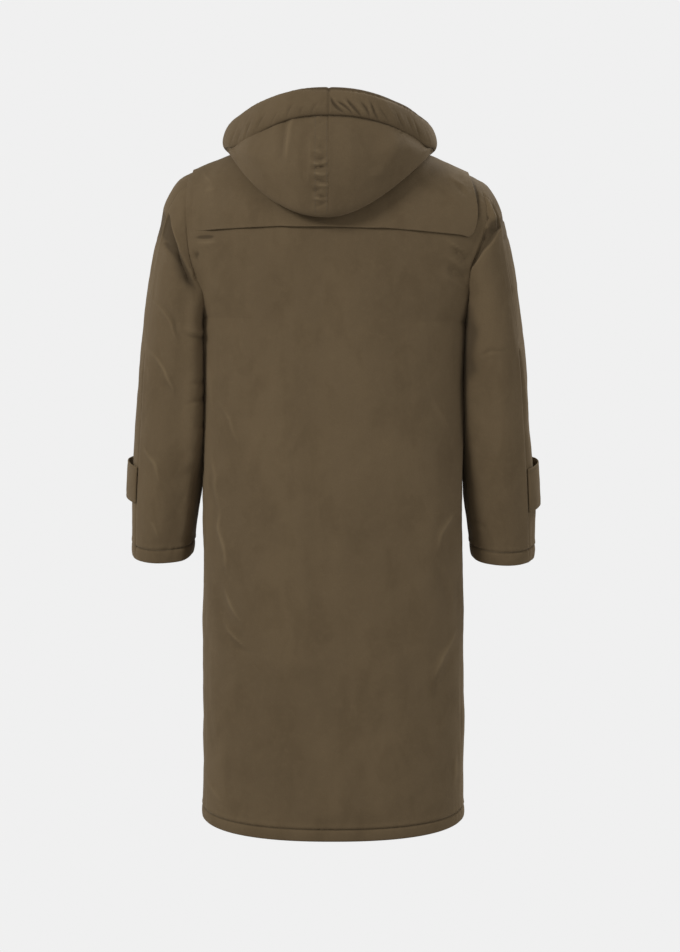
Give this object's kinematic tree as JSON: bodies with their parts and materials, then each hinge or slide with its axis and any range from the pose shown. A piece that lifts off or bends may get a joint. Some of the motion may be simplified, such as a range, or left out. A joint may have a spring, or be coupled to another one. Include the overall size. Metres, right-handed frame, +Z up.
{
  "type": "duffle coat",
  "caption": "Long hooded duffle coat filled out as worn: padded cloth panels, back yoke, hood with a puffy rim, cuff tabs and toggle closures down the front.",
  "frame": {"origin": "middle of the neck at the height of the shoulder line, where the wearer's shoulders carry the coat", "axes": "+Z up, +Y the way the wearer faces, +X the wearer's right"},
  "size_m": [0.7318, 0.3437, 1.2706],
  "materials": {
    "shell_cloth": "matte, brushed olive-brown cloth with a soft nap",
    "patch_leather": "smooth dark brown leather, satin",
    "loop_cord": "braided brown cord, matte",
    "toggle_horn": "horn-like, polished, brown with darker streaks"
  },
  "bodies": {
    "root": {"back": "shell_cloth", "back_yoke": "shell_cloth", "front_left": "shell_cloth", "front_right": "shell_cloth", "sleeve_left_back": "shell_cloth", "sleeve_left_front": "shell_cloth", "cuff_tab_left": "shell_cloth", "sleeve_right_back": "shell_cloth", "sleeve_right_front": "shell_cloth", "cuff_tab_right": "shell_cloth", "hood_left": "shell_cloth", "hood_right": "shell_cloth", "hood_rim": "shell_cloth", "toggle_1": "toggle_horn", "patch_left_1": "patch_leather", "patch_right_1": "patch_leather", "loop_left_1": "loop_cord", "loop_right_1": "loop_cord", "toggle_2": "toggle_horn", "patch_left_2": "patch_leather", "patch_right_2": "patch_leather", "loop_left_2": "loop_cord", "loop_right_2": "loop_cord", "toggle_3": "toggle_horn", "patch_left_3": "patch_leather", "patch_right_3": "patch_leather", "loop_left_3": "loop_cord", "loop_right_3": "loop_cord", "toggle_4": "toggle_horn", "patch_left_4": "patch_leather", "patch_right_4": "patch_leather", "loop_left_4": "loop_cord", "loop_right_4": "loop_cord"}
  },
  "joints": []
}
